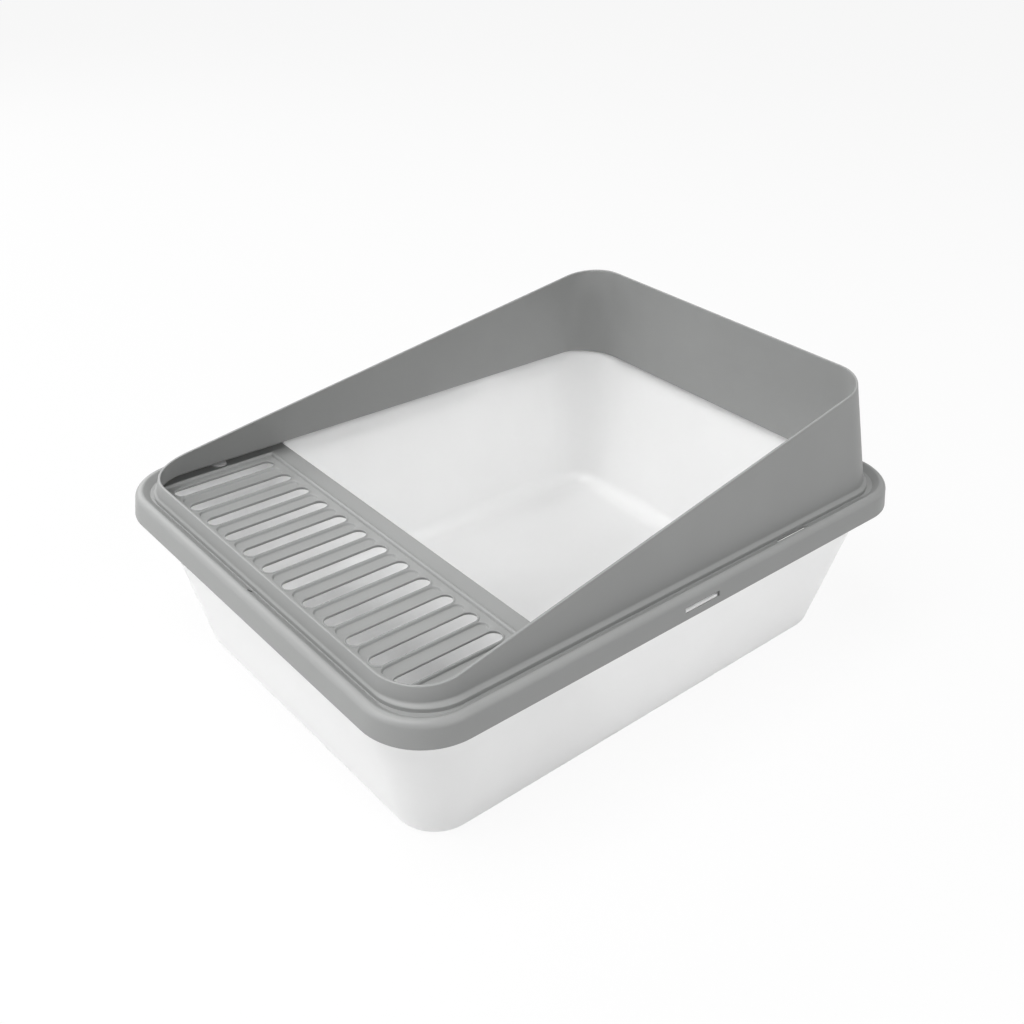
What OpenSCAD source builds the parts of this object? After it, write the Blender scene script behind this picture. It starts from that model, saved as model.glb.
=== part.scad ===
// Litter pan with a raised shield frame and a lift-out step grate.
// The front faces -Y, the high back wall stands at +Y, and the pan rests on z = 0.

/* [Overall] */
// Width of the frame over the lower edge of its skirt
frame_w = 383; // [330:1:440]
// Length of the frame over the lower edge of its skirt, front to back
frame_l = 500; // [430:1:570]
// Height of the pan, from the floor to the top of its rim
pan_h = 133; // [110:1:160]

/* [Pan] */
// Lean of the pan's walls from upright, in degrees
pan_draft = 13.45; // [8:0.05:16]
// Thickness of the pan's walls and rim
pan_t = 2.4; // [1.8:0.1:3.2]
// Distance from the skirt's face in to the pan's side walls, at the rim
side_inset = 5.8; // [5:0.1:8]
// Distance from the skirt's face in to the pan's front and back walls, at the rim
end_inset = 8.2; // [5:0.1:10]
// Plan radius of the pan's corners at the rim
pan_r = 63; // [56:1:68]
// Radius under the pan, where its walls turn into its base
base_r = 9; // [6:0.5:14]
// Radius inside the pan, where its walls turn into its floor
inner_r = 16; // [10:1:24]
// Height of the raised middle of the pan's underside
foot_h = 1.2; // [0.6:0.1:3]
// Width of the flat ring that the pan stands on
foot_w = 10; // [6:0.5:12]
// Height of the rim's turned-down edge
rim_drop = 8.5; // [3.5:0.5:12]
// Radius on the inner edge of the rim
rim_edge_r = 1.6; // [0.8:0.1:1.7]

/* [Shield frame] */
// Plan radius of the skirt's corners
frame_r = 47; // [42:1:54]
// Thickness of the skirt and of the ledge inside it
skirt_t = 2.2; // [1.8:0.1:3]
// Drop of the skirt below the top of the ledge
skirt_drop = 15.4; // [11:0.1:20]
// Flare of the skirt from upright, in degrees
skirt_flare = 7.6; // [3:0.1:9]
// Rise of the rounded skirt edge above the ledge
crest_rise = 3.2; // [2.4:0.1:5]
// Radius of the skirt's rounded top edge
crest_r = 5.2; // [4:0.1:6]
// Radius on the inner side of the rounded edge
crest_inner_r = 2.4; // [1.8:0.1:2.4]
// Gap between the skirt and the edge of the pan's rim
rim_gap = 0.7; // [0.5:0.1:1]
// Lean of the shield wall from upright, in degrees
wall_draft = 9.8; // [6:0.1:12]
// Thickness of the shield wall
wall_t = 1.9; // [1.5:0.1:2.6]
// Plan radius of the shield wall's corners at the ledge
wall_r = 38; // [34:1:44]
// Plan radius of the shield wall's corners at the back top edge
wall_top_r = 34; // [20:1:40]
// Distance from the skirt's face to the side and back walls, at the ledge
wall_inset = 16.6; // [15.5:0.1:19]
// Distance from the skirt's face to the front wall, at the ledge
front_inset = 14; // [13.5:0.1:17]
// Height of the front wall above the ledge
wall_front_h = 15.1; // [9:0.1:30]
// Height of the back wall above the ledge
wall_back_h = 90; // [60:1:120]
// Distance from the skirt's front face to where the sloping top edge starts
slope_start = 38.7; // [30:0.1:80]
// Distance from the skirt's back face to where the sloping top edge ends
slope_end = 33.9; // [30:0.1:80]
// Half the length of the curves that ease the top edge into its slope
slope_ease = 15; // [5:1:28]
// Drop of the shield wall's lower edge below the top of the ledge
lip_drop = 0.8; // [0.5:0.1:2]

/* [Wall foot] */
// Width of the low rail at the foot of the side walls
rail_w = 2.2; // [1.2:0.1:2.6]
// Width of the rail at the foot of the front and back walls
rail_end_w = 0.5; // [0.3:0.1:1.2]
// Height of the rail's edge above the ledge
rail_h = 2.5; // [1:0.1:3]
// Height at which the rail's sloping top meets the wall, above the ledge
rail_top = 4.1; // [3.5:0.1:7]

/* [Windows and slots] */
// Length of the window in each side of the skirt
window_l = 35; // [20:0.5:60]
// Height of the window
window_h = 4.3; // [3:0.1:6]
// Drop from the ledge's top to the window's upper edge
window_drop = 5.1; // [3.5:0.1:6]
// Place of the window along the side, from the frame's middle
window_y = 0; // [-60:0.5:60]
// Length of the slot in the ledge of each side
ledge_slot_l = 36; // [20:0.5:60]
// Width of the slot in the ledge
ledge_slot_w = 3.4; // [2:0.1:3.6]
// Place of the ledge slot along the side, from the frame's middle
ledge_slot_y = 110.5; // [70:0.1:140]
// Distance from the skirt's face to the middle of the ledge slot
ledge_slot_inset = 11.6; // [11:0.1:12]
// Radius of the round moulding pit in the front ledge
pit_r = 2.2; // [1:0.1:2.2]
// Depth of the moulding pit
pit_depth = 1.3; // [0.5:0.1:1.5]
// Distance from the skirt's front face to the middle of the pit
pit_inset = 11; // [10.5:0.1:11.2]

/* [Step grate] */
// Thickness of the grate's plate
grate_t = 2.4; // [1.8:0.1:3.5]
// Gap between the grate's top and the lower edge of the wall above it
grate_gap = 6.3; // [3:0.1:8]
// Gap between the grate's edge and the step in the pan's rim
grate_play = 0.4; // [0.3:0.1:1.5]
// Depth of the grate, front to back
grate_d = 134.5; // [115:0.1:180]
// Width of each slot in the grate
slot_w = 11.4; // [6:0.1:13]
// Distance from one slot to the next
slot_pitch = 26.25; // [24:0.05:34]
// Distance from the slots' front ends to the grate's front edge
slot_front = 27; // [24:0.1:36]
// Distance from the slots' rear ends to the grate's rear edge
slot_rear = 24; // [22.5:0.5:36]
// Width of the flat border round each slot
slot_lip = 1.6; // [1.2:0.1:2]
// Rise of that border above the plate
slot_rise = 0.4; // [0.2:0.1:0.8]
// Depth of the dished bars between the slots
bar_dish = 1.1; // [0.5:0.1:1.5]
// Distance from the grate's side edges to the middle of the ridge
ridge_side = 13.5; // [12.5:0.1:14.5]
// Distance from the grate's rear edge to the middle of the ridge
ridge_rear = 16.6; // [10:0.1:17]
// Distance from the grate's front edge to the ends of the ridge
ridge_front = 14; // [6:0.5:24]
// Width of the ridge round the slots
ridge_w = 4; // [2.5:0.1:5]
// Height of the ridge
ridge_h = 1.2; // [0.6:0.1:2]
// Height of the turned-down lip at the grate's rear edge
grate_lip_h = 8; // [4:0.5:14]
// Distance from the grate's side edges to the ends of that lip
grate_lip_inset = 8; // [7:0.5:20]
// Radius of the notch in each side edge of the grate
notch_r = 6.5; // [5:0.1:8]
// Distance of the notch's centre inside the grate's side edge
notch_in = 0.9; // [0:0.1:2]
// Distance from the grate's front edge to the middle of the notches
notch_d = 76.9; // [65:0.1:85]

/* [Locating stubs] */
// Gap between a notch and the pan's stub inside it
stub_gap = 0.8; // [0.4:0.1:1.2]
// Rise of the stub above the grate's plate
stub_rise = 0.8; // [0.3:0.1:1.6]
// Depth of the stub below the grate's plate
stub_h = 5; // [3:0.5:9]

/* [Hidden] */

// Steps of a quarter circle, and of the easing curve
ARC_STEPS = 8;
EASE_STEPS = 8;
$fn = 96;
// Overrun of every cut past the faces that it goes through
over = 1;
// Thickness of the thin layers that the lofts run between
layer_t = 0.01;
// Turn of the skirt's inner round past upright, and the run of the slope below it
crest_turn = 75;
crest_run = 0.4;

// Half sizes of the skirt, which the other pieces take theirs from
half_w = frame_w / 2;
half_l = frame_l / 2;
ledge_z = pan_h + skirt_t;
skirt_z = ledge_z - skirt_drop;
crest_z = ledge_z + crest_rise;
frame_top_z = ledge_z + wall_back_h;
front_top_z = ledge_z + wall_front_h;
lip_z = ledge_z - lip_drop;

// The pan's rim lies inside the skirt
pan_half_w = half_w - side_inset;
pan_half_l = half_l - end_inset;
rim_inset = tan(skirt_flare) * (pan_h - skirt_z) + skirt_t + rim_gap;
edge_w = half_w - rim_inset;
edge_l = half_l - rim_inset;
rim_r = frame_r - rim_inset;
pan_wall = pan_t / cos(pan_draft);
floor_z = foot_h + pan_t;

// The shield wall's outer faces at the ledge
wall_half_w = half_w - wall_inset;
wall_front = -half_l + front_inset;
wall_back = half_l - wall_inset;
wall_half_l = (wall_back - wall_front) / 2;
wall_mid = (wall_back + wall_front) / 2;

// The grate lies in a step of the pan's rim, under the frame's wall
grate_top_z = lip_z - grate_gap;
grate_z = grate_top_z - grate_t;
grate_half_w = edge_w - pan_t - grate_play;
grate_front = pan_t + grate_play - edge_l;
grate_back = grate_front + grate_d;
grate_r = rim_r - pan_t - grate_play;
step_back = grate_back + grate_play;
slot_front_y = grate_front + slot_front;
slot_rear_y = grate_back - slot_rear;
slot_side = floor((grate_half_w - ridge_side - ridge_w / 2 - slot_lip - slot_w / 2) / slot_pitch);
bar_w = slot_pitch - slot_w - 2 * slot_lip;
notch_x = grate_half_w - notch_in;
notch_y = grate_front + notch_d;

// Points of an arc from angle a to angle b
function arc(x, y, r, a, b, n = ARC_STEPS) =
    [for (i = [0 : n]) [x + r * cos(a + (b - a) * i / n), y + r * sin(a + (b - a) * i / n)]];

function reversed(points) = [for (i = [len(points) - 1 : -1 : 0]) points[i]];

// Distance from the pan's rim line in to its outer wall at a height
function pan_lean(z) = tan(pan_draft) * (pan_h - z);

// Distance from the skirt's lower edge in to its outer face at a height
function skirt_lean(z) = tan(skirt_flare) * (z - skirt_z);

// Distance that the shield wall leans in from its place at the ledge
function wall_lean(z) = tan(wall_draft) * (z - ledge_z);

// Arc of radius r that joins a leaning wall of the pan, shifted in by off, to a floor at height z
function pan_turn(r, z, off) =
    let (tangent_z = z + r - r * sin(pan_draft))
    arc(pan_r - pan_lean(tangent_z) - off - r * cos(pan_draft), z + r, r, -pan_draft, -90);

// Rounded rectangle about the origin, given by its half sizes
module round_rect(a, b, r) {
    square([2 * a, 2 * (b - r)], center = true);
    square([2 * (a - r), 2 * b], center = true);
    for (x = [-1, 1], y = [-1, 1])
        translate([x * (a - r), y * (b - r)])
            circle(r);
}

// Sweeps a profile round a rounded rectangle. The profile's x is measured out from the corner centres.
module sweep_ring(a, b, r) {
    for (side = [0, 180])
        rotate([0, 0, side]) {
            translate([a - r, b - r, 0])
                rotate([90, 0, 0])
                    linear_extrude(2 * (b - r))
                        children();
            translate([-(a - r), b - r, 0])
                rotate([90, 0, 90])
                    linear_extrude(2 * (a - r))
                        children();
            translate([a - r, b - r, 0])
                rotate_extrude(angle = 90)
                    children();
            translate([-(a - r), b - r, 0])
                rotate([0, 0, 90])
                    rotate_extrude(angle = 90)
                        children();
        }
}

// Copies what it is given to the left side as well
module both_sides() {
    children();
    mirror([1, 0, 0])
        children();
}

// Slot outline along Y, of width w, between two places
module slot_outline(w, y0, y1) {
    translate([-w / 2, y0 + w / 2])
        square([w, y1 - y0 - w]);
    for (y = [y0 + w / 2, y1 - w / 2])
        translate([0, y])
            circle(w / 2, $fn = 32);
}

// Section of the pan's wall and base, with the rounded turns between them
module pan_section() {
    inner_top = pan_r - pan_wall;
    outer = concat([[pan_r, pan_h]], pan_turn(base_r, 0, 0));
    foot_x = outer[len(outer) - 1][0] - foot_w;
    inner = reversed(pan_turn(inner_r, floor_z, pan_wall));
    edge = arc(inner_top + rim_edge_r, pan_h - rim_edge_r, rim_edge_r, 180, 90);
    polygon(concat(outer, [[foot_x, 0], [foot_x, foot_h], [0, foot_h], [0, floor_z]], inner, edge));
}

// Flat rim from the pan's wall out to its edge, with the edge turned down
module pan_rim() {
    translate([0, 0, pan_h - pan_t])
        linear_extrude(pan_t)
            difference() {
                round_rect(edge_w, edge_l, rim_r);
                round_rect(pan_half_w - pan_t / 2, pan_half_l - pan_t / 2, pan_r - pan_t / 2);
            }
    translate([0, 0, pan_h - rim_drop])
        linear_extrude(rim_drop)
            difference() {
                round_rect(edge_w, edge_l, rim_r);
                round_rect(edge_w - pan_t, edge_l - pan_t, rim_r - pan_t);
                round_rect(pan_half_w - pan_t, pan_half_l - pan_t, pan_r - pan_t);
            }
}

// Keeps the part of an outline that lies in front of a place
module in_front_of(y) {
    intersection() {
        children();
        translate([-half_w, -half_l])
            square([frame_w, y + half_l]);
    }
}

// Solid between the pan's wall and the rim's edge, beside and in front of the grate
module rim_block(low_z, top_z) {
    inset = pan_lean((low_z + top_z) / 2) + pan_wall / 2;
    translate([0, 0, low_z])
        linear_extrude(top_z - low_z)
            in_front_of(step_back + pan_t)
                difference() {
                    round_rect(edge_w, edge_l, rim_r);
                    round_rect(pan_half_w - inset, pan_half_l - inset, pan_r - inset);
                }
}

// Space of the step in the rim, which leaves a seat under the grate's edge
module grate_step() {
    translate([0, 0, grate_z])
        linear_extrude(pan_h - grate_z + over)
            in_front_of(step_back)
                round_rect(edge_w - pan_t, edge_l - pan_t, rim_r - pan_t);
}

// Round stub on the pan's wall and seat that stands in the grate's notch
module locating_stub() {
    stub_r = notch_r - stub_gap;
    low_z = grate_z - stub_h;
    wall_x = pan_half_w - pan_lean(low_z) - pan_wall / 2;
    intersection() {
        translate([notch_x, notch_y, low_z])
            cylinder(h = grate_top_z + stub_rise - low_z, r = stub_r, $fn = 48);
        translate([notch_x - stub_r, notch_y - stub_r, 0]) {
            translate([0, 0, low_z])
                cube([wall_x - notch_x + stub_r, 2 * stub_r, pan_h - low_z]);
            translate([0, 0, grate_z - pan_t / 2])
                cube([edge_w - pan_t / 2 - notch_x + stub_r, 2 * stub_r, pan_h - grate_z]);
        }
    }
}

module litter_pan() {
    color("white") {
        difference() {
            union() {
                sweep_ring(pan_half_w, pan_half_l, pan_r)
                    pan_section();
                pan_rim();
                rim_block(grate_z - pan_t, grate_z);
                rim_block(grate_z, pan_h);
            }
            grate_step();
        }
        translate([0, 0, foot_h])
            linear_extrude(pan_t)
                square([2 * (pan_half_w - pan_r), 2 * (pan_half_l - pan_r)], center = true);
        both_sides()
            locating_stub();
    }
}

// Section of the skirt: flared band, rounded top edge and the ledge behind it
module skirt_section() {
    crest_low = crest_z - crest_r;
    crest_x = frame_r - skirt_lean(crest_low) - crest_r / cos(skirt_flare);
    crest = arc(crest_x, crest_low, crest_r, skirt_flare, 90);
    fall = arc(crest_x, crest_z - crest_inner_r, crest_inner_r, 90, 90 + crest_turn);
    foot_x = fall[len(fall) - 1][0] - crest_run;
    ledge_x = frame_r - wall_inset - wall_t;
    inside_x = frame_r - skirt_t - skirt_lean(pan_h);
    polygon(concat([[frame_r - skirt_t, skirt_z], [frame_r, skirt_z]], crest, fall,
        [[foot_x, ledge_z], [ledge_x, ledge_z], [ledge_x, pan_h], [inside_x, pan_h]]));
}

// Thin layer with the shield wall's outline at a height, grown by off
module wall_layer(z, off) {
    rise_share = (z - ledge_z) / wall_back_h;
    corner_r = wall_r + (wall_top_r - wall_r) * rise_share;
    translate([0, wall_mid, z])
        linear_extrude(layer_t)
            round_rect(wall_half_w - wall_lean(z) + off, wall_half_l - wall_lean(z) + off, corner_r + off);
}

// Outline of the low rail round the wall's foot, as a share of its full width
module rail_outline(width_share) {
    translate([0, wall_mid])
        round_rect(wall_half_w + rail_w * width_share, wall_half_l + rail_end_w * width_share, wall_r);
}

// Low rail round the wall's foot, with a top that slopes up to the wall
module wall_rail() {
    translate([0, 0, lip_z])
        linear_extrude(ledge_z + rail_h - lip_z)
            rail_outline(1);
    hull() {
        translate([0, 0, ledge_z + rail_h - layer_t])
            linear_extrude(layer_t)
                rail_outline(1);
        wall_layer(ledge_z + rail_top, 0);
    }
}

// Side view of the space above the shield wall's top edge
module above_top_edge() {
    y0 = -half_l + slope_start;
    y1 = half_l - slope_end;
    slope = (frame_top_z - front_top_z) / (y1 - y0);
    ease = [for (i = [0 : EASE_STEPS])
        let (t = 2 * i / EASE_STEPS - 1)
        [y0 + slope_ease * t, front_top_z + slope * slope_ease * (t + 1) * (t + 1) / 4]];
    polygon(concat([[-half_l, front_top_z]], ease, [[y1, frame_top_z], [half_l, frame_top_z],
        [half_l, frame_top_z + 2 * over], [-half_l, frame_top_z + 2 * over]]));
}

// Window in the skirt and slot in the ledge, on the right side
module side_openings() {
    translate([half_w - rim_inset, window_y - window_l / 2, ledge_z - window_drop - window_h])
        cube([rim_inset + over, window_l, window_h]);
    translate([half_w - ledge_slot_inset, 0, pan_h - over])
        linear_extrude(skirt_t + 2 * over)
            slot_outline(ledge_slot_w, ledge_slot_y - ledge_slot_l / 2, ledge_slot_y + ledge_slot_l / 2);
}

module shield_frame() {
    color("darkgray")
        difference() {
            union() {
                sweep_ring(half_w, half_l, frame_r)
                    skirt_section();
                wall_rail();
                hull() {
                    wall_layer(lip_z, 0);
                    wall_layer(frame_top_z, 0);
                }
            }
            hull() {
                wall_layer(pan_h - over, -wall_t);
                wall_layer(frame_top_z + over, -wall_t);
            }
            translate([0, 0, pan_h - over])
                linear_extrude(lip_z - pan_h + over)
                    rail_outline(1 / 2);
            translate([-half_w, 0, 0])
                rotate([90, 0, 90])
                    linear_extrude(frame_w)
                        above_top_edge();
            both_sides()
                side_openings();
            translate([0, -half_l + pit_inset, ledge_z - pit_depth])
                cylinder(h = pit_depth + over, r = pit_r, $fn = 32);
        }
}

// Plan outline of the grate, with room for the stubs in its side edges
module grate_outline() {
    difference() {
        intersection() {
            round_rect(grate_half_w, -grate_front, grate_r);
            translate([-grate_half_w, grate_front])
                square([2 * grate_half_w, grate_d]);
        }
        for (x = [-1, 1])
            translate([x * notch_x, notch_y])
                circle(notch_r, $fn = 48);
    }
}

// Ridge along both sides of the slots and behind them, with mitred corners
module grate_ridge() {
    low_x = grate_half_w - ridge_side - ridge_w / 2;
    low_y = grate_back - ridge_rear - ridge_w / 2;
    top_x = low_x + ridge_w;
    top_y = low_y + ridge_w;
    front_y = grate_front + ridge_front;
    bead = [for (p = arc(0, 0, 1, 0, 180)) [(1 + p[0]) * ridge_w / 2, p[1] * ridge_h]];
    both_sides()
        intersection() {
            translate([low_x, top_y, 0])
                rotate([90, 0, 0])
                    linear_extrude(top_y - front_y)
                        polygon(bead);
            linear_extrude(ridge_h + over)
                polygon([[low_x, front_y], [top_x, front_y], [top_x, top_y], [low_x, low_y]]);
        }
    intersection() {
        translate([-top_x, low_y, 0])
            rotate([90, 0, 90])
                linear_extrude(2 * top_x)
                    polygon(bead);
        linear_extrude(ridge_h + over)
            polygon([[-low_x, low_y], [low_x, low_y], [top_x, top_y], [-top_x, top_y]]);
    }
}

// Outline of a slot with its border
module slot_border() {
    slot_outline(slot_w + 2 * slot_lip, slot_front_y - slot_lip, slot_rear_y + slot_lip);
}

module step_grate() {
    color("darkgray")
        difference() {
            union() {
                translate([0, 0, grate_z])
                    linear_extrude(grate_t)
                        grate_outline();
                translate([-grate_half_w + grate_lip_inset, grate_back - grate_t, grate_z - grate_lip_h])
                    cube([2 * (grate_half_w - grate_lip_inset), grate_t, grate_lip_h + grate_t / 2]);
                translate([0, 0, grate_top_z])
                    intersection() {
                        grate_ridge();
                        linear_extrude(ridge_h)
                            grate_outline();
                    }
                for (i = [-slot_side : slot_side])
                    translate([i * slot_pitch, 0, grate_top_z])
                        linear_extrude(slot_rise)
                            slot_border();
            }
            for (i = [-slot_side : slot_side])
                translate([i * slot_pitch, 0, grate_z - over])
                    linear_extrude(grate_t + slot_rise + 2 * over)
                        slot_outline(slot_w, slot_front_y, slot_rear_y);
            for (i = [-slot_side : slot_side - 1])
                translate([(i + 1 / 2) * slot_pitch, 0, grate_top_z - bar_dish])
                    linear_extrude(bar_dish + over)
                        slot_outline(bar_w, slot_front_y, slot_rear_y);
        }
}

litter_pan();
shield_frame();
step_grate();
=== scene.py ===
"""Litter pan with a raised shield frame and a lift-out step grate, in a plain pale studio."""

import math

import bmesh
import bpy
from mathutils import Matrix, Vector


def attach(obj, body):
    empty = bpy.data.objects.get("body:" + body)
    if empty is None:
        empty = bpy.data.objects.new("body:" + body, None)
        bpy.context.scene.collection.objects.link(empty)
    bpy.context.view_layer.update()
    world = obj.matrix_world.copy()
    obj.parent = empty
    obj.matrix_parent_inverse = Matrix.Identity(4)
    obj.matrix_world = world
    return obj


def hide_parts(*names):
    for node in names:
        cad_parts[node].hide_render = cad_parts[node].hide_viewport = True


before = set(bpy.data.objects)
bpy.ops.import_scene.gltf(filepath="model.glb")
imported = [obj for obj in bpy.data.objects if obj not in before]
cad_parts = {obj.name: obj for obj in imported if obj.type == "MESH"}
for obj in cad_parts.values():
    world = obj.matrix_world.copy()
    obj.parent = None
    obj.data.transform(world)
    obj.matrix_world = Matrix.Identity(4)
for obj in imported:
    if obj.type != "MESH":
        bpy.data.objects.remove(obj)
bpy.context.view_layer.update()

# Sizes are in millimetres until a mesh is made.
MM = 0.001

# How finely round parts are divided, which edges stay sharp, in degrees, and how far a cutting shape
# reaches past a face
CORNER_STEPS = 18
SLOT_END_STEPS = 20
SHARP = 30
GRATE_SHARP = 35
PAST = 1.0

# Pan. The spans are how far the straight sides of a ring reach from the middle.
PAN_SPAN_X = 115
PAN_SPAN_Y = 170
HALF_W = 191.5
HALF_L = 250.0
PAN_H = 133.0
PAN_DRAFT = math.radians(13.45)
PAN_T = 2.4
PAN_HALF_W = HALF_W - 5.8
PAN_HALF_L = HALF_L - 8.2
PAN_R = 63.0
PAN_WALL = PAN_T / math.cos(PAN_DRAFT)
BASE_R = 9.0
INNER_R = 16.0
FOOT_H = 1.2
FOOT_W = 10.0
RIM_DROP = 8.5
RIM_EDGE_R = 1.6
RIM_LOW_R = 0.5
STEP_EDGE_R = 0.4
FLOOR_Z = FOOT_H + PAN_T

# Shield frame: skirt, crest, groove, rail, and the wall whose top edge slopes
FRAME_SPAN_X = 118
FRAME_SPAN_Y = 178
FRAME_R = 47.0
SKIRT_T = 2.2
SKIRT_FLARE = math.radians(7.6)
SKIRT_EDGE_R = 0.8
LEDGE_Z = PAN_H + SKIRT_T
SKIRT_Z = LEDGE_Z - 15.4
CREST_Z = LEDGE_Z + 3.2
CREST_R = 5.2
CREST_INNER_R = 2.4
CREST_TURN = 38
GROOVE_R = 0.3
GROOVE_Z = LEDGE_Z - 0.5
GROOVE_FOOT_R = GROOVE_R * 0.7
WALL_DRAFT = math.radians(9.8)
WALL_T = 1.9
WALL_EDGE_R = 0.7
WALL_R = 38.0
WALL_TOP_R = 34.0
WALL_INSET = 16.6
WALL_FRONT = -HALF_L + 14
WALL_BACK = HALF_L - WALL_INSET
WALL_HALF_W = HALF_W - WALL_INSET
WALL_HALF_L = (WALL_BACK - WALL_FRONT) / 2
WALL_MID = (WALL_BACK + WALL_FRONT) / 2
FRONT_TOP = LEDGE_Z + 15.1
BACK_TOP = LEDGE_Z + 90
SLOPE_START = -HALF_L + 38.7
SLOPE_END = HALF_L - 33.9
SLOPE_EASE = 15.0
LIP_Z = LEDGE_Z - 0.8
LIP_R = 0.4
RAIL_W = 2.2
RAIL_END_W = 0.5
RAIL_Z = LEDGE_Z + 2.5
RAIL_TOP_Z = LEDGE_Z + 4.1
WALL_START_Z = RAIL_TOP_Z + 1.6

# Section of the rail: how far in towards the wall each height lies, as a share of the rail's width
RAIL_SECTION = (
    (0, RAIL_Z - 0.8),
    (0.01, RAIL_Z - 0.4),
    (0.08, RAIL_Z),
    (0.2, RAIL_Z + 0.3),
    (0.5, RAIL_Z + 0.85),
    (0.8, RAIL_TOP_Z - 0.2),
    (0.95, RAIL_TOP_Z + 0.3),
    (1, RAIL_TOP_Z + 1),
)

# How far inside the frame's outline the edge of the pan's rim lies
RIM_INSET = math.tan(SKIRT_FLARE) * (PAN_H - SKIRT_Z) + SKIRT_T + 0.7

# Windows in the skirt, slots in the groove, and the moulding pit. A window's sill falls inwards.
WINDOW_L = 35.0
WINDOW_H = 4.3
WINDOW_TOP_Z = LEDGE_Z - 5.1
WINDOW_FALL = 0.8
WINDOW_INSET = 1.1
LEDGE_SLOT_L = 36.0
LEDGE_SLOT_W = 4.0
LEDGE_SLOT_X = HALF_W - 12
LEDGE_SLOT_Y = 110.5
PIT_Y = -HALF_L + 10.4
PIT_R = 1.9
PIT_DEPTH = 1.6

# Step grate, which lies in a step of the pan's rim. Its slots have raised borders, with bars between them.
GRATE_T = 2.4
GRATE_TOP = LIP_Z - 6.3
GRATE_Z = GRATE_TOP - GRATE_T
GRATE_PLAY = 0.4
GRATE_HALF_W = HALF_W - RIM_INSET - PAN_T - GRATE_PLAY
GRATE_FRONT = RIM_INSET + PAN_T + GRATE_PLAY - HALF_L
GRATE_BACK = GRATE_FRONT + 134.5
GRATE_R = FRAME_R - RIM_INSET - PAN_T - GRATE_PLAY
GRATE_EDGE_R = 0.8
SEAT_LOW_Z = GRATE_Z - PAN_T
STEP_BACK = GRATE_BACK + GRATE_PLAY
SLOT_W = 11.4
SLOT_PITCH = 26.25
SLOT_SIDE = 6
SLOT_FRONT = GRATE_FRONT + 27
SLOT_REAR = GRATE_BACK - 24
SLOT_LIP = 1.6
SLOT_RISE = 0.6
SLOT_EDGE_W = 0.6
SLOT_EDGE_H = 0.6
SLOT_EDGE_T = 0.7
BAR_DISH = 1.6
BAR_WALL = 1.1
BAR_W = SLOT_PITCH - SLOT_W - 2 * SLOT_LIP
RIDGE_X = GRATE_HALF_W - 13.5
RIDGE_Y = GRATE_BACK - 16.6
RIDGE_FRONT = GRATE_FRONT + 14
RIDGE_W = 4.0
RIDGE_H = 2.3
RIDGE_MID = 10
GRATE_LIP_H = 8.0
GRATE_LIP_R = 0.7
GRATE_LIP_HALF = GRATE_HALF_W - 8
NOTCH_R = 6.5
NOTCH_X = GRATE_HALF_W - 0.9
NOTCH_Y = GRATE_FRONT + 76.9

# Stubs of the pan that stand in the grate's notches
STUB_R = NOTCH_R - 0.8
STUB_RISE = 0.8
STUB_H = 5.0
STUB_EDGE_R = 0.5

# Plastics: two linear colours, the range of roughness, the grain's size and depth, and how far light goes
# into the white one, in millimetres
GREY = {
    "dark": (0.283, 0.287, 0.284),
    "light": (0.299, 0.303, 0.3),
    "roughness": (0.42, 0.5),
    "grain_mm": 0.9,
    "bump": 0.05,
}
WHITE = {
    "dark": (0.87, 0.871, 0.87),
    "light": (0.892, 0.894, 0.893),
    "roughness": (0.3, 0.36),
    "grain_mm": 2.5,
    "bump": 0.02,
    "scatter": 6,
}
CLOUD_SCALE = 14
CLOUD_DETAIL = 3
GRAIN_DETAIL = 4
NOISE_LOW = 0.3
NOISE_HIGH = 0.7
BUMP_STRENGTH = 0.5

# Studio, in metres and watts
FLOOR_HALF = 30
FLOOR_GREY = 0.8
FLOOR_WHITE_SHARE = 0.92
WORLD_LEVEL = 0.07
LAMP_AIM_Z = 0.1
# Name, azimuth, elevation, distance, size and power of each softbox
SOFTBOXES = (
    ("front_low", -25, 10, 2.4, 1.2, 6),
    ("front_mid", -12, 28, 2.4, 1.2, 10.5),
    ("front_high", 0, 68, 2.2, 1.2, 27),
    ("front_left", -22, 48, 2.2, 1.0, 11),
    ("left", -80, 30, 2.2, 1.2, 16),
    ("right", 90, 30, 2.2, 1.2, 14.5),
    ("right_back", 125, 42, 1.7, 0.8, 2.3),
    ("back", 180, 58, 2.2, 1.2, 4),
)

# Camera: its angles, and its place along its own right, up and back directions
CAMERA_AZIMUTH = 46.0032
CAMERA_ELEVATION = 31.2075
CAMERA_ROLL = 3.3211
CAMERA_PLACE = (0.0418946, 0.0928545, 0.993706)
CAMERA_LENS = 41.259
CAMERA_SHIFT = -0.0558


def arc(x, z, r, start, end, steps):
    """Points of an arc between two angles in degrees."""
    angles = [math.radians(start + (end - start) * i / steps) for i in range(steps + 1)]
    return [(x + r * math.cos(a), z + r * math.sin(a)) for a in angles]


def spread(start, end, count):
    """Evenly spaced values, both ends included."""
    return [start + (end - start) * i / (count - 1) for i in range(count)]


def pan_size(out):
    """Size of a ring that lies out from the pan's rim line."""
    return lambda z: (PAN_HALF_W + out, PAN_HALF_L + out, PAN_R + out, 0.0)


def rim_size(out):
    """Size of a ring that lies out from the edge of the pan's rim."""
    inset = out - RIM_INSET
    return lambda z: (HALF_W + inset, HALF_L + inset, FRAME_R + inset, 0.0)


def skirt_size(out):
    """Size of a ring that lies out from the skirt's lower edge."""
    return lambda z: (HALF_W + out, HALF_L + out, FRAME_R + out, 0.0)


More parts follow.
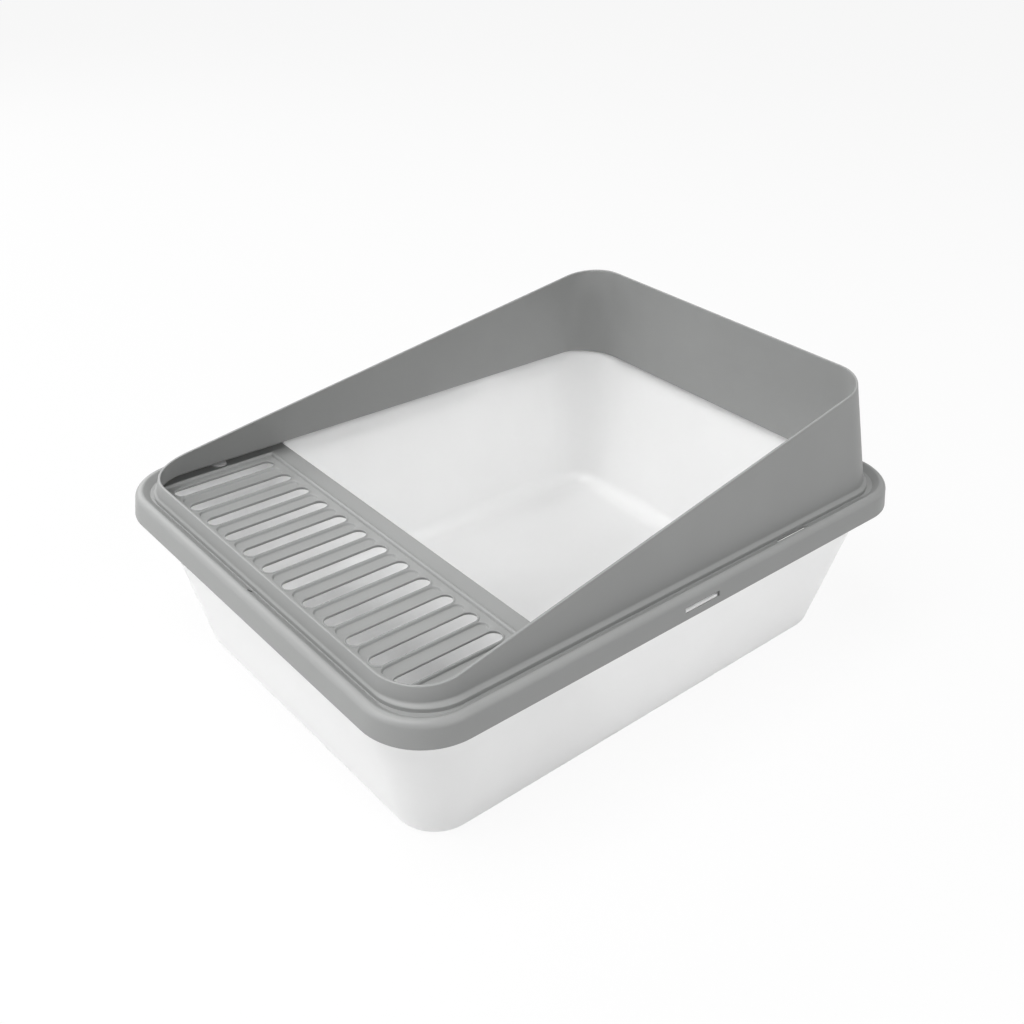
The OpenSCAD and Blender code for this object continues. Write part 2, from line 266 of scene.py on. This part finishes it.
def wall_size(out):
    """Size of a ring that lies out from the shield wall's outer face, which leans in with height."""

    def size(z):
        lean = math.tan(WALL_DRAFT) * (z - LEDGE_Z)
        corner = WALL_R + (WALL_TOP_R - WALL_R) * (z - LEDGE_Z) / (BACK_TOP - LEDGE_Z)
        return (WALL_HALF_W - lean + out, WALL_HALF_L - lean + out, corner + out, WALL_MID)

    return size


def rail_size(share, out=0.0):
    """Size of a ring that lies out from the rail, whose width is taken as a share."""
    a = WALL_HALF_W + RAIL_W * share + out
    b = WALL_HALF_L + RAIL_END_W * share + out
    return lambda z: (a, b, WALL_R + out, WALL_MID)


def mixed_size(first, second, share):
    """Size of a ring that lies between two others."""
    return lambda z: tuple(p + (q - p) * share for p, q in zip(first(z), second(z)))


def top_edge(y):
    """Height of the shield wall's top edge at a place along its length."""
    slope = (BACK_TOP - FRONT_TOP) / (SLOPE_END - SLOPE_START)
    if y < SLOPE_START - SLOPE_EASE:
        return FRONT_TOP
    if y < SLOPE_START + SLOPE_EASE:
        t = (y - SLOPE_START) / SLOPE_EASE
        return FRONT_TOP + slope * SLOPE_EASE * (t + 1) ** 2 / 4
    return min(BACK_TOP, FRONT_TOP + slope * (y - SLOPE_START))


def add_object(name, data):
    """Puts a new object into the scene."""
    made = bpy.data.objects.new(name, data)
    bpy.context.scene.collection.objects.link(made)
    return made


def plan_row(bm, points, z):
    """Adds a row of points that lie at one height."""
    return [bm.verts.new((x * MM, y * MM, z * MM)) for x, y in points]


def ring_faces(bm, rows):
    """Joins closed rows of points into a surface."""
    for lower, upper in zip(rows, rows[1:]):
        for i in range(len(lower)):
            j = (i + 1) % len(lower)
            bm.faces.new((lower[i], lower[j], upper[j], upper[i]))


class Ring:
    """Lays rings of points round rounded rectangles and joins them into a surface."""

    def __init__(self, xs, ys, zones=None):
        """Each place in ys has a zone. The corners and ends take theirs from the nearest one."""
        sides = list(zip(ys, zones or [0] * len(ys)))
        front = sides[0][1]
        back = sides[-1][1]
        angles = spread(0, 90, CORNER_STEPS + 1)
        self.stations = [("x", 1, y, zone) for y, zone in sides]
        self.stations += [("corner", (1, 1), a, back) for a in angles]
        self.stations += [("y", 1, x, back) for x in reversed(xs)]
        self.stations += [("corner", (-1, 1), a + 90, back) for a in angles]
        self.stations += [("x", -1, y, zone) for y, zone in reversed(sides)]
        self.stations += [("corner", (-1, -1), a + 180, front) for a in angles]
        self.stations += [("y", -1, x, front) for x in xs]
        self.stations += [("corner", (1, -1), a + 270, front) for a in angles]
        self.bm = bmesh.new()
        self.first = None
        self.last = None

    def place(self, station, size):
        """Place of a station on a rounded rectangle of the given size."""
        kind, side, value, _ = station
        a, b, r, mid = size
        if kind == "x":
            return side * a, value
        if kind == "y":
            return value, mid + side * b
        turn = math.radians(value)
        x = side[0] * (a - r) + r * math.cos(turn)
        return x, mid + side[1] * (b - r) + r * math.sin(turn)

    def row(self, size, height):
        """Adds a ring. Its height is a number, or a function of the place along Y."""
        points = []
        for station in self.stations:
            z = height(0) if callable(height) else height
            x, y = self.place(station, size(z))
            # The wall leans, so a place and its height are brought together in a few rounds.
            if callable(height):
                for _ in range(4):
                    z = height(y)
                    x, y = self.place(station, size(z))
            points.append((x, y, z))
        self.add(points)

    def zoned_row(self, choices):
        """Adds a ring with one size and height for each zone."""
        points = []
        for station in self.stations:
            size, z = choices[station[3]]
            points.append((*self.place(station, size(z)), z))
        self.add(points)

    def add(self, points):
        """Adds a ring of points and joins it to the one before."""
        row = [self.bm.verts.new(Vector(p) * MM) for p in points]
        if self.last:
            ring_faces(self.bm, (self.last, row))
        else:
            self.first = row
        self.last = row

    def rows(self, size, points):
        """Adds a ring for each pair of a distance out and a height."""
        for out, z in points:
            self.row(size(out), z)

    def close(self):
        """Joins the last ring to the first one."""
        ring_faces(self.bm, (self.last, self.first))


def finish_mesh(bm, name, angle):
    """Turns a bmesh into a smooth-shaded object whose edges above the angle stay sharp."""
    bmesh.ops.remove_doubles(bm, verts=bm.verts, dist=1e-6)
    bmesh.ops.recalc_face_normals(bm, faces=bm.faces)
    mesh = bpy.data.meshes.new(name)
    bm.to_mesh(mesh)
    bm.free()
    mesh.shade_smooth()
    mesh.set_sharp_from_angle(angle=math.radians(angle))
    return add_object(name, mesh)


def prism(bm, outline, lift):
    """Adds a closed solid between an outline of 3-D points and the same outline moved by lift."""
    near = [bm.verts.new(Vector(p) * MM) for p in outline]
    far = [bm.verts.new((Vector(p) + Vector(lift)) * MM) for p in outline]
    bm.faces.new(near)
    bm.faces.new(list(reversed(far)))
    ring_faces(bm, (near, far))


def stadium(x, y0, y1, half):
    """Outline of a slot along Y with round ends at y0 and y1."""
    front = arc(x, y0 + half, half, 180, 360, SLOT_END_STEPS)
    rear = arc(x, y1 - half, half, 0, 180, SLOT_END_STEPS)
    return front + rear


def cut(piece, outline, lift):
    """Takes the closed solid between an outline and the same outline moved by lift out of a piece."""
    bm = bmesh.new()
    prism(bm, outline, lift)
    bmesh.ops.recalc_face_normals(bm, faces=bm.faces)
    mesh = bpy.data.meshes.new("cutter")
    bm.to_mesh(mesh)
    bm.free()
    cutter = add_object("cutter", mesh)
    modifier = piece.modifiers.new("cut", "BOOLEAN")
    modifier.operation = "DIFFERENCE"
    modifier.solver = "EXACT"
    modifier.object = cutter
    graph = bpy.context.evaluated_depsgraph_get()
    result = bpy.data.meshes.new_from_object(piece.evaluated_get(graph))
    piece.modifiers.remove(modifier)
    bpy.data.objects.remove(cutter)
    result.name = piece.data.name
    piece.data = result


def build_pan():
    """The pan. Its rim is plain at the back and steps down to a seat where the grate lies."""
    step_end = STEP_BACK + PAN_T
    ys = spread(-PAN_SPAN_Y, STEP_BACK, 6) + [STEP_BACK, step_end] + spread(step_end, PAN_SPAN_Y, 12)
    zones = ["step"] * 6 + ["end"] * 2 + ["plain"] * 12
    ring = Ring(spread(-PAN_SPAN_X, PAN_SPAN_X, 9), ys, zones)

    def lean(z):
        """How far the outer face has drawn in at a height."""
        return math.tan(PAN_DRAFT) * (PAN_H - z)

    def turn(r, z, off, start, end, steps):
        """Arc that rounds the foot of a face, which lies off inside the outer one."""
        tangent = z + r - r * math.sin(PAN_DRAFT)
        return arc(-lean(tangent) - off - r * math.cos(PAN_DRAFT), z + r, r, start, end, steps)

    def sized(size, points):
        """Pairs of a ring's size and height."""
        return [(size(out), z) for out, z in points]

    draft = math.degrees(PAN_DRAFT)
    base = turn(BASE_R, 0, 0, -90, -draft, 14)
    foot_out = base[0][0] - FOOT_W
    ring.rows(pan_size, [(foot_out - 0.5, FOOT_H), (foot_out, FOOT_H), (foot_out, 0), (foot_out + 0.4, 0)])
    ring.rows(pan_size, base)
    for z in spread(BASE_R + 1, SEAT_LOW_Z, 12):
        ring.row(pan_size(-lean(z)), z)

    # Under the rim, and its outer edge
    edge = RIM_LOW_R
    under = PAN_H - PAN_T
    drop_z = PAN_H - RIM_DROP
    plain = [(pan_size(-lean(under)), under)]
    plain += sized(rim_size, arc(-PAN_T - edge, under - edge, edge, 90, 0, 4))
    plain += sized(rim_size, [(-PAN_T, drop_z), (0, drop_z)])
    wall = pan_size(-lean(SEAT_LOW_Z))
    shares = spread(0.1, 1, len(plain))
    solid = [(mixed_size(wall, rim_size(0), share), SEAT_LOW_Z) for share in shares]
    for plain_row, solid_row in zip(plain, solid):
        ring.zoned_row({"plain": plain_row, "end": solid_row, "step": solid_row})
    ring.rows(rim_size, arc(-edge, PAN_H - edge, edge, 0, 90, 5))

    # Over the rim and down inside it, past the seat where there is one
    inner = -PAN_WALL
    low = GRATE_Z - 0.6
    plain = sized(pan_size, [(inner + RIM_EDGE_R + 0.4, PAN_H)])
    plain += sized(pan_size, arc(inner + RIM_EDGE_R, PAN_H - RIM_EDGE_R, RIM_EDGE_R, 90, 180, 6))
    plain += sized(pan_size, [(inner - lean(z), z) for z in spread(PAN_H - RIM_EDGE_R - 1, low, 3)])
    edge = STEP_EDGE_R
    step = sized(rim_size, [(2 * edge - PAN_T, PAN_H)])
    step += sized(rim_size, arc(edge - PAN_T, PAN_H - edge, edge, 90, 180, 6))
    step += sized(rim_size, [(-PAN_T, GRATE_Z)])
    step += sized(pan_size, [(inner - lean(GRATE_Z) + 0.5, GRATE_Z), (inner - lean(low), low)])
    for plain_row, step_row in zip(plain, step):
        ring.zoned_row({"plain": plain_row, "end": plain_row, "step": step_row})

    # Inner face and floor
    inside = turn(INNER_R, FLOOR_Z, PAN_WALL, -draft, -90, 16)
    for z in spread(GRATE_Z - 2, inside[0][1] + 0.8, 12):
        ring.row(pan_size(-lean(z) - PAN_WALL), z)
    ring.rows(pan_size, inside)
    ring.row(pan_size(inside[-1][0] - 0.5), FLOOR_Z)
    ring.bm.faces.new(ring.first)
    ring.bm.faces.new(ring.last)
    return ring.bm


def add_stubs(bm):
    """Adds the stubs that stand in the grate's notches, on the pan's wall and on the seat."""
    low = GRATE_Z - STUB_H
    mid = GRATE_Z - PAN_T / 2
    top = GRATE_TOP + STUB_RISE
    wall = PAN_HALF_W - math.tan(PAN_DRAFT) * (PAN_H - low) - PAN_WALL / 2
    band = HALF_W - RIM_INSET - PAN_T / 2
    edge = STUB_EDGE_R
    upper = [(0, mid)] + [(out, z) for out, z in arc(-edge, top - edge, edge, 0, 90, 5)]
    for side in (-1, 1):
        for reach, profile in ((wall, [(0, low), (0, mid)]), (band, upper)):
            rows = []
            for out, z in profile:
                r = STUB_R + out
                half_turn = math.degrees(math.acos((reach - NOTCH_X) / r))
                outline = arc(NOTCH_X, NOTCH_Y, r, half_turn, 360 - half_turn, 32)
                rows.append(plan_row(bm, [(side * x, y) for x, y in outline], z))
            ring_faces(bm, rows)
            bm.faces.new(rows[0])
            bm.faces.new(rows[-1])


def build_frame():
    """The shield frame, from the skirt's lower edge over crest, groove, rail and wall and down inside."""
    ring = Ring(spread(-FRAME_SPAN_X, FRAME_SPAN_X, 15), spread(-FRAME_SPAN_Y, FRAME_SPAN_Y, 29))
    flare = math.degrees(SKIRT_FLARE)
    lean = math.tan(SKIRT_FLARE)

    def face(z):
        """How far out the skirt's outer face lies at a height."""
        return -lean * (z - SKIRT_Z)

    edge = SKIRT_EDGE_R
    low_out = -edge / math.cos(SKIRT_FLARE) - lean * edge
    inner_out = low_out - SKIRT_T + 2 * edge
    ring.rows(skirt_size, arc(inner_out, SKIRT_Z + edge, edge, 180, 270, 5))
    ring.rows(skirt_size, arc(low_out, SKIRT_Z + edge, edge, 270, 360 + flare, 7))
    crest_low = CREST_Z - CREST_R
    for z in spread(SKIRT_Z + edge + 0.6, crest_low - 0.2, 7):
        ring.row(skirt_size(face(z)), z)
    crest_out = face(crest_low) - CREST_R / math.cos(SKIRT_FLARE)
    ring.rows(skirt_size, arc(crest_out, crest_low, CREST_R, flare, 90, 14))
    fall = arc(crest_out, CREST_Z - CREST_INNER_R, CREST_INNER_R, 90, 90 + CREST_TURN, 9)
    ring.rows(skirt_size, fall[1:])
    steep = math.radians(CREST_TURN)
    run = (fall[-1][1] - GROOVE_Z) / math.tan(steep)
    bottom_out = fall[-1][0] - run - GROOVE_R * math.tan(steep / 2)
    groove = arc(bottom_out, GROOVE_Z + GROOVE_R, GROOVE_R, -(90 - CREST_TURN), -90, 6)
    ring.rows(skirt_size, groove)
    side = skirt_size(groove[-1][0])
    foot = rail_size(1, GROOVE_FOOT_R)
    for share in spread(0.06, 0.94, 7):
        ring.row(mixed_size(side, foot, share), GROOVE_Z)
    for out, z in arc(GROOVE_FOOT_R, GROOVE_Z + GROOVE_FOOT_R, GROOVE_FOOT_R, -90, -180, 5):
        ring.row(rail_size(1, out), z)
    for share, z in RAIL_SECTION:
        ring.row(mixed_size(rail_size(1), wall_size(0), share), z)

    edge = WALL_EDGE_R

    def at_share(share):
        """Height at a share of the way from the wall's foot to its rounded top edge."""
        return lambda y: WALL_START_Z + (top_edge(y) - edge - WALL_START_Z) * share

    for share in spread(0, 0.97, 12):
        ring.row(wall_size(0), at_share(share))
    outer_edge = arc(-edge, -edge, edge, 0, 90, 6)
    inner_edge = arc(edge - WALL_T, -edge, edge, 90, 180, 6)
    for out, rise in outer_edge + inner_edge:
        ring.row(wall_size(out), lambda y, rise=rise: top_edge(y) + rise)
    for share in spread(0.97, 0, 12):
        ring.row(wall_size(-WALL_T), at_share(share))
    ring.row(wall_size(-WALL_T), LIP_Z + 0.6)
    for out, z in arc(LIP_R - WALL_T, LIP_Z + LIP_R, LIP_R, 180, 270, 4):
        ring.row(wall_size(out), z)
    ring.row(rail_size(0.5), LIP_Z)
    ring.row(rail_size(0.5), PAN_H)
    inside = face(PAN_H) - SKIRT_T
    ring.row(skirt_size(inside), PAN_H)
    for z in spread(PAN_H - 1, SKIRT_Z + 1.6, 4):
        ring.row(skirt_size(face(z) - SKIRT_T), z)
    ring.close()
    return ring.bm


def cut_frame_openings(piece):
    """Cuts the two windows, the two ledge slots and the moulding pit."""
    window_low = WINDOW_TOP_Z - WINDOW_H
    window_half = WINDOW_L / 2
    window_depth = RIM_INSET + PAST
    window_fall = WINDOW_FALL * (RIM_INSET - WINDOW_INSET)
    corners = (
        (-window_half, window_low),
        (window_half, window_low),
        (window_half, WINDOW_TOP_Z),
        (-window_half, WINDOW_TOP_Z),
    )
    slot_front = LEDGE_SLOT_Y - LEDGE_SLOT_L / 2
    slot_rear = LEDGE_SLOT_Y + LEDGE_SLOT_L / 2
    for side in (-1, 1):
        x = side * (HALF_W - RIM_INSET)
        outline = [(x, y, z - window_fall) for y, z in corners]
        cut(piece, outline, (side * window_depth, 0, WINDOW_FALL * window_depth))
        slot = stadium(side * LEDGE_SLOT_X, slot_front, slot_rear, LEDGE_SLOT_W / 2)
        cut(piece, [(px, py, PAN_H - PAST) for px, py in slot], (0, 0, SKIRT_T + 2 * PAST))
    # The pit's corners keep off the middle line, where the frame has corners of its own.
    pit = arc(0, PIT_Y, PIT_R, 5, 350, 23)
    cut(piece, [(x, y, LEDGE_Z - PIT_DEPTH) for x, y in pit], (0, 0, CREST_Z - LEDGE_Z + PIT_DEPTH))


def loop_edges(bm, row):
    """Edges of a closed row of points."""
    edges = []
    for i in range(len(row)):
        pair = (row[i], row[(i + 1) % len(row)])
        edges.append(bm.edges.get(pair) or bm.edges.new(pair))
    return edges


def grate_outline(off):
    """Plan outline of the grate, drawn in by off, with the notches in its sides."""
    a = GRATE_HALF_W - off
    front = GRATE_FRONT + off
    back = GRATE_BACK - off
    r = GRATE_R - off
    notch = NOTCH_R + off
    turn = math.degrees(math.acos((a - NOTCH_X) / notch))
    right = arc(a - r, front + r, r, -90, 0, 24)
    right += arc(NOTCH_X, NOTCH_Y, notch, 360 - turn, turn, 16)
    right += [(a, back)]
    left = [(-x, y) for x, y in reversed(right)]
    return right + left


def add_plate(bm):
    """Adds the grate's outer edge. Returns the borders of its top and underside."""
    edge = GRATE_EDGE_R
    rows = [plan_row(bm, grate_outline(edge + 0.3), GRATE_TOP)]
    for out, rise in arc(-edge, -edge, edge, 90, 0, 5):
        rows.append(plan_row(bm, grate_outline(-out), GRATE_TOP + rise))
    rows.append(plan_row(bm, grate_outline(0), GRATE_Z))
    ring_faces(bm, rows)
    return loop_edges(bm, rows[0]), loop_edges(bm, rows[-1])


def add_long_form(bm, x, half, section):
    """Adds a slot or a bar from its section: how far each row lies out, and how high."""
    rows = []
    for out, rise in section:
        points = stadium(x, SLOT_FRONT - out, SLOT_REAR + out, half + out)
        rows.append(plan_row(bm, points, GRATE_TOP + rise))
    ring_faces(bm, rows)
    return rows


def add_ridge(bm):
    """Adds the ridge that runs back along both sides and across the rear. Returns its border."""
    strips = []
    for share in spread(-1, 1, 13):
        x = RIDGE_X + share * RIDGE_W / 2
        y = RIDGE_Y + share * RIDGE_W / 2
        height = RIDGE_H * math.sqrt(1 - share ** 2)
        right = [(x, RIDGE_FRONT, 0)]
        right += [(x, along, height) for along in spread(RIDGE_FRONT + 1, RIDGE_Y - RIDGE_W, 12)]
        right += [(x, y, height)]
        right += [(across, y, height) for across in spread(RIDGE_X - RIDGE_W, RIDGE_MID, 16)]
        line = right + [(-px, py, rise) for px, py, rise in reversed(right)]
        strips.append([bm.verts.new((px * MM, py * MM, (GRATE_TOP + rise) * MM)) for px, py, rise in line])
    for near, far in zip(strips, strips[1:]):
        for k in range(len(near) - 1):
            bm.faces.new((near[k], near[k + 1], far[k + 1], far[k]))
    around = strips[0] + [line[-1] for line in strips[1:-1]] + list(reversed(strips[-1]))
    around += [line[0] for line in reversed(strips[1:-1])]
    return loop_edges(bm, around)


def add_grate_lip(bm):
    """Adds the lip that hangs from the grate's rear edge."""
    r = GRATE_LIP_R
    low = GRATE_Z - GRATE_LIP_H + r
    mid = GRATE_Z + GRATE_T / 2
    outline = arc(GRATE_BACK - GRATE_T + r, low, r, 180, 270, 4)
    outline += arc(GRATE_BACK - r, low, r, 270, 360, 4)
    outline += [(GRATE_BACK, mid), (GRATE_BACK - GRATE_T, mid)]
    prism(bm, [(-GRATE_LIP_HALF, y, z) for y, z in outline], (2 * GRATE_LIP_HALF, 0, 0))


def build_grate():
    """The step grate: a plate with bordered slots, dished bars between them, a ridge and a rear lip."""
    bm = bmesh.new()
    top_edges, low_edges = add_plate(bm)

    border = [(SLOT_LIP - 0.1, 0), (SLOT_LIP - 0.2, 0.1), (SLOT_LIP - 0.3, 0.3)]
    for turn in spread(0, math.pi / 2, 9):
        out = SLOT_EDGE_W * (1 - math.sin(turn))
        border.append((out, SLOT_RISE - SLOT_EDGE_H * (1 - math.cos(turn))))
    border += [(0, -SLOT_EDGE_T), (SLOT_LIP - 0.2, -GRATE_T)]
    for i in range(-SLOT_SIDE, SLOT_SIDE + 1):
        rows = add_long_form(bm, i * SLOT_PITCH, SLOT_W / 2, border)
        top_edges += loop_edges(bm, rows[0])
        low_edges += loop_edges(bm, rows[-1])

    dish = [(0, 0)]
    dish += [(-BAR_WALL * t, -BAR_DISH * (3 - 2 * t) * t ** 2) for t in spread(0.1, 1, 8)]
    dish += [(-t, -BAR_DISH) for t in spread(BAR_WALL + 0.6, BAR_W / 2 - 0.1, 4)]
    for i in range(-SLOT_SIDE, SLOT_SIDE):
        rows = add_long_form(bm, (i + 0.5) * SLOT_PITCH, BAR_W / 2, dish)
        bm.faces.new(rows[-1])
        top_edges += loop_edges(bm, rows[0])

    top_edges += add_ridge(bm)
    bmesh.ops.triangle_fill(bm, use_beauty=True, use_dissolve=False, edges=top_edges)
    bmesh.ops.triangle_fill(bm, use_beauty=True, use_dissolve=False, edges=low_edges)
    add_grate_lip(bm)
    return bm


def empty_nodes(owner):
    """Nodes and links of a material or world, with nothing in them yet."""
    owner.use_nodes = True
    owner.node_tree.nodes.clear()
    return owner.node_tree.nodes, owner.node_tree.links


def add_noise(nodes, links, place, scale, detail):
    """Noise in the piece's own space."""
    noise = nodes.new("ShaderNodeTexNoise")
    noise.inputs["Scale"].default_value = scale
    noise.inputs["Detail"].default_value = detail
    links.new(place.outputs["Object"], noise.inputs["Vector"])
    return noise


def add_range(nodes, links, source, low, high):
    """Maps a noise to a narrow range of values."""
    span = nodes.new("ShaderNodeMapRange")
    span.inputs["From Min"].default_value = NOISE_LOW
    span.inputs["From Max"].default_value = NOISE_HIGH
    span.inputs["To Min"].default_value = low
    span.inputs["To Max"].default_value = high
    links.new(source, span.inputs["Value"])
    return span.outputs["Result"]


def plastic(name, dark, light, roughness, grain_mm, bump, scatter=None):
    """Moulded plastic: a faintly uneven colour over a fine texture. Scatter is how deep light enters it."""
    material = bpy.data.materials.new(name)
    nodes, links = empty_nodes(material)
    shader = nodes.new("ShaderNodeBsdfPrincipled")
    output = nodes.new("ShaderNodeOutputMaterial")
    links.new(shader.outputs["BSDF"], output.inputs["Surface"])
    place = nodes.new("ShaderNodeTexCoord")
    cloud = add_noise(nodes, links, place, CLOUD_SCALE, CLOUD_DETAIL)
    grain = add_noise(nodes, links, place, 1 / (grain_mm * MM), GRAIN_DETAIL)
    mix = nodes.new("ShaderNodeMix")
    mix.data_type = "RGBA"
    mix.inputs["A"].default_value = (*dark, 1)
    mix.inputs["B"].default_value = (*light, 1)
    links.new(add_range(nodes, links, cloud.outputs["Fac"], 0, 1), mix.inputs["Factor"])
    links.new(mix.outputs["Result"], shader.inputs["Base Color"])
    links.new(add_range(nodes, links, grain.outputs["Fac"], *roughness), shader.inputs["Roughness"])
    rough = nodes.new("ShaderNodeBump")
    rough.inputs["Distance"].default_value = bump * MM
    rough.inputs["Strength"].default_value = BUMP_STRENGTH
    links.new(grain.outputs["Fac"], rough.inputs["Height"])
    links.new(rough.outputs["Normal"], shader.inputs["Normal"])
    if scatter:
        shader.inputs["Subsurface Weight"].default_value = 1
        shader.inputs["Subsurface Scale"].default_value = scatter * MM
        shader.inputs["Subsurface Radius"].default_value = (1, 1, 1)
    return material


def seen_directly(nodes, links):
    """1 for rays that show the background: camera, glossy and transmission rays."""
    path = nodes.new("ShaderNodeLightPath")
    seen = path.outputs["Is Camera Ray"]
    for kind in ("Is Glossy Ray", "Is Transmission Ray"):
        either = nodes.new("ShaderNodeMath")
        either.operation = "MAXIMUM"
        links.new(seen, either.inputs[0])
        links.new(path.outputs[kind], either.inputs[1])
        seen = either.outputs[0]
    return seen


def build_stage():
    """The pale floor. The camera sees it nearly white, and a share of the soft shadow stays."""
    mesh = bpy.data.meshes.new("floor")
    corners = [(x * FLOOR_HALF, y * FLOOR_HALF, 0) for x, y in ((-1, -1), (1, -1), (1, 1), (-1, 1))]
    mesh.from_pydata(corners, [], [(0, 1, 2, 3)])
    floor = add_object("floor", mesh)
    material = bpy.data.materials.new("floor")
    nodes, links = empty_nodes(material)
    output = nodes.new("ShaderNodeOutputMaterial")
    plain = nodes.new("ShaderNodeBsdfDiffuse")
    plain.inputs["Color"].default_value = (FLOOR_GREY, FLOOR_GREY, FLOOR_GREY, 1)
    white = nodes.new("ShaderNodeEmission")
    white.inputs["Strength"].default_value = 1
    share = nodes.new("ShaderNodeMath")
    share.operation = "MULTIPLY"
    share.inputs[1].default_value = FLOOR_WHITE_SHARE
    links.new(seen_directly(nodes, links), share.inputs[0])
    mix = nodes.new("ShaderNodeMixShader")
    links.new(share.outputs[0], mix.inputs["Fac"])
    links.new(plain.outputs["BSDF"], mix.inputs[1])
    links.new(white.outputs["Emission"], mix.inputs[2])
    links.new(mix.outputs["Shader"], output.inputs["Surface"])
    mesh.materials.append(material)


def build_world(level):
    """A dim even light from all round, which the camera sees as white."""
    world = bpy.data.worlds.new("studio")
    bpy.context.scene.world = world
    nodes, links = empty_nodes(world)
    output = nodes.new("ShaderNodeOutputWorld")
    light = nodes.new("ShaderNodeBackground")
    light.inputs["Color"].default_value = (1, 1, 1, 1)
    light.inputs["Strength"].default_value = level
    white = nodes.new("ShaderNodeBackground")
    white.inputs["Color"].default_value = (1, 1, 1, 1)
    mix = nodes.new("ShaderNodeMixShader")
    links.new(seen_directly(nodes, links), mix.inputs["Fac"])
    links.new(light.outputs["Background"], mix.inputs[1])
    links.new(white.outputs["Background"], mix.inputs[2])
    links.new(mix.outputs["Shader"], output.inputs["Surface"])


def direction(azimuth, elevation):
    """Unit vector from the object. Azimuth is measured in degrees from -Y towards +X."""
    turn = math.radians(azimuth)
    rise = math.radians(elevation)
    return Vector((math.sin(turn) * math.cos(rise), -math.cos(turn) * math.cos(rise), math.sin(rise)))


def add_softbox(name, azimuth, elevation, distance, size, power):
    """Square softbox that looks at the object."""
    data = bpy.data.lights.new(name, "AREA")
    data.size = size
    data.energy = power
    away = direction(azimuth, elevation)
    lamp = add_object(name, data)
    lamp.location = away * distance + Vector((0, 0, LAMP_AIM_Z))
    lamp.rotation_mode = "QUATERNION"
    lamp.rotation_quaternion = away.to_track_quat("Z", "Y")


def build_camera():
    """The camera, which looks along the photograph's viewing direction."""
    azimuth = math.radians(CAMERA_AZIMUTH)
    roll = math.radians(CAMERA_ROLL)
    right = Vector((math.cos(azimuth), math.sin(azimuth), 0))
    back = direction(CAMERA_AZIMUTH, CAMERA_ELEVATION)
    up = back.cross(right)
    turned_right = right * math.cos(roll) + up * math.sin(roll)
    turned_up = up * math.cos(roll) - right * math.sin(roll)
    along_right, along_up, along_back = CAMERA_PLACE
    place = along_right * turned_right + along_up * turned_up + along_back * back
    data = bpy.data.cameras.new("camera")
    data.sensor_width = 36
    data.lens = CAMERA_LENS
    data.shift_x = CAMERA_SHIFT
    data.clip_start = 0.01
    data.clip_end = 100
    camera = add_object("camera", data)
    turn = Matrix((turned_right, turned_up, back)).transposed()
    camera.matrix_world = Matrix.Translation(place) @ turn.to_4x4()
    bpy.context.scene.camera = camera


def dress(piece, node, body, material):
    """Gives a piece its material and ties it to the part."""
    piece.data.materials.clear()
    piece.data.materials.append(material)
    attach(piece, body)
    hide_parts(node)


grey = plastic("grey_plastic", **GREY)
white = plastic("white_plastic", **WHITE)

pan_bm = build_pan()
add_stubs(pan_bm)
pan = finish_mesh(pan_bm, "pan", SHARP)
shield = finish_mesh(build_frame(), "shield", SHARP)
cut_frame_openings(shield)
grate = finish_mesh(build_grate(), "grate", GRATE_SHARP)
dress(pan, "litter_pan", "litter_pan", white)
dress(shield, "shield_frame", "shield_frame", grey)
dress(grate, "step_grate", "step_grate", grey)

build_stage()
build_world(WORLD_LEVEL)
for softbox in SOFTBOXES:
    add_softbox(*softbox)
build_camera()
bpy.context.scene.view_settings.view_transform = "Standard"
